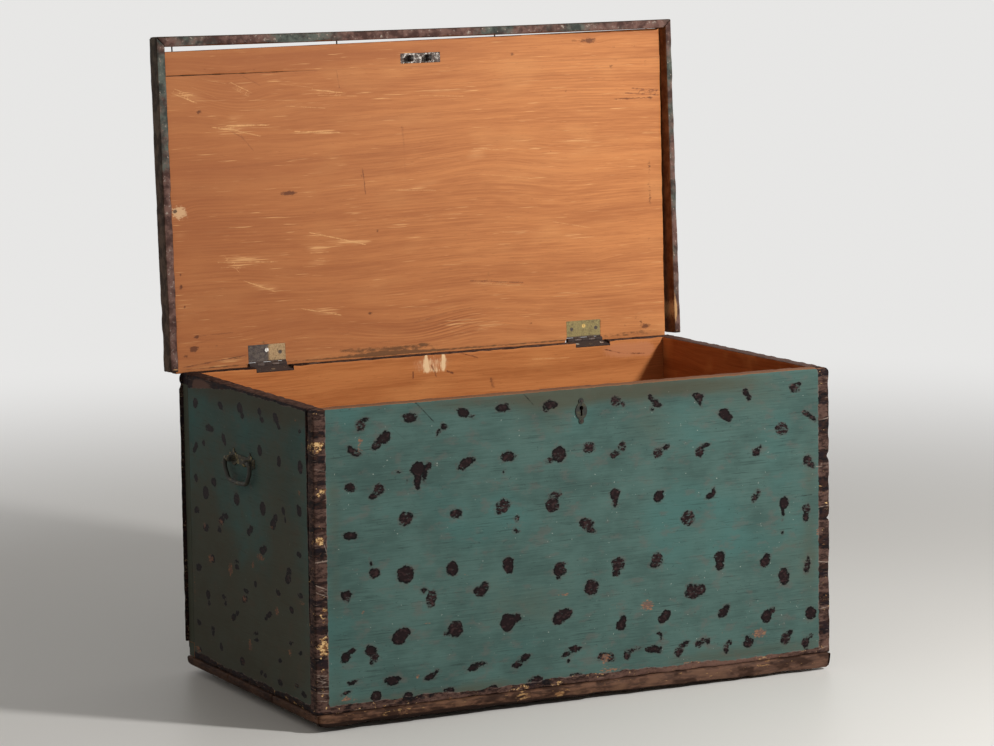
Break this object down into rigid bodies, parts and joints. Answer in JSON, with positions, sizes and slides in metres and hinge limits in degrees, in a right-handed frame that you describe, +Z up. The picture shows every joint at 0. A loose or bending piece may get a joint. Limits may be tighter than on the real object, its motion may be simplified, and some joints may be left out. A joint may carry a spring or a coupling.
{
  "type": "sea chest",
  "caption": "Sea chest of painted pine boards with a hinged framed lid, a key lock with link plate, a bail handle at each end and a plank bottom on skids.",
  "frame": {"origin": "on the floor, in the middle of the underside of the middle skid, which is the middle of the box's footprint", "axes": "+Z up, -Y out of the front face, +X to the right of someone who faces the front; the lid stands open at rest"},
  "size_m": [0.974, 0.5881, 1.0647],
  "materials": {
    "painted_pine": "worn blue-green oil paint with dark dabs on the outside, bare inside",
    "brown_pine": "chipped brown paint over pine",
    "bare_pine": "bare aged pine",
    "rim_pine": "dark worn paint over pine",
    "dull_brass": "dull, stained",
    "dark_brass": "dark, overpainted in places",
    "galvanised_iron": "mottled, partly rusted",
    "screw_steel": "worn bright",
    "rusty_iron": "dark and rusty"
  },
  "bodies": {
    "carcass": {"back_lower_board": "painted_pine", "back_nails": "rusty_iron", "back_upper_board": "painted_pine", "bottom_nails": "rusty_iron", "bottom_plank_1": "brown_pine", "bottom_plank_2": "brown_pine", "bottom_plank_3": "brown_pine", "escutcheon": "rusty_iron", "escutcheon_pins": "rusty_iron", "front_board": "painted_pine", "handle_left_backplate": "dark_brass", "handle_left_nuts": "dark_brass", "handle_left_posts": "dark_brass", "handle_right_backplate": "dark_brass", "handle_right_nuts": "dark_brass", "handle_right_posts": "dark_brass", "hinge_left_lower_leaf": "rusty_iron", "hinge_left_lower_screws": "screw_steel", "hinge_left_pin": "rusty_iron", "hinge_right_lower_leaf": "rusty_iron", "hinge_right_lower_screws": "screw_steel", "hinge_right_pin": "rusty_iron", "left_board": "painted_pine", "lock_case": "rusty_iron", "lock_key_post": "rusty_iron", "lock_plate": "rusty_iron", "lock_screws": "screw_steel", "right_board": "painted_pine", "skid_left": "bare_pine", "skid_middle": "bare_pine", "skid_nails": "rusty_iron", "skid_right": "bare_pine"},
    "lid": {"hinge_left_upper_leaf": "dull_brass", "hinge_left_upper_screws": "screw_steel", "hinge_right_upper_leaf": "dull_brass", "hinge_right_upper_screws": "screw_steel", "lid_front_plank": "bare_pine", "lid_main_plank": "bare_pine", "lid_rim_front": "rim_pine", "lid_rim_left": "rim_pine", "lid_rim_nails": "rusty_iron", "lid_rim_right": "rim_pine", "link_eyes": "galvanised_iron", "link_plate": "galvanised_iron", "link_screws": "galvanised_iron"},
    "lock_bolt": {"lock_bolt": "rusty_iron"},
    "bail_left": {"handle_left_bail": "dark_brass"},
    "bail_right": {"handle_right_bail": "dark_brass"}
  },
  "joints": [
    {"name": "lid_hinge", "type": "hinge", "parent": "carcass", "child": "lid", "pos_m": [0, 0.2725, 0.5085], "axis": [1, 0, 0], "range_deg": [0, 92.8]},
    {"name": "bolt_slide", "type": "slide", "parent": "carcass", "child": "lock_bolt", "axis": [1, 0, 0], "range_m": [0, 0.009]},
    {"name": "bail_left_hinge", "type": "hinge", "parent": "carcass", "child": "bail_left", "pos_m": [-0.475, 0.013, 0.393], "axis": [0, 1, 0], "range_deg": [0, 95]},
    {"name": "bail_right_hinge", "type": "hinge", "parent": "carcass", "child": "bail_right", "pos_m": [0.475, 0.013, 0.393], "axis": [0, -1, 0], "range_deg": [0, 95]}
  ]
}
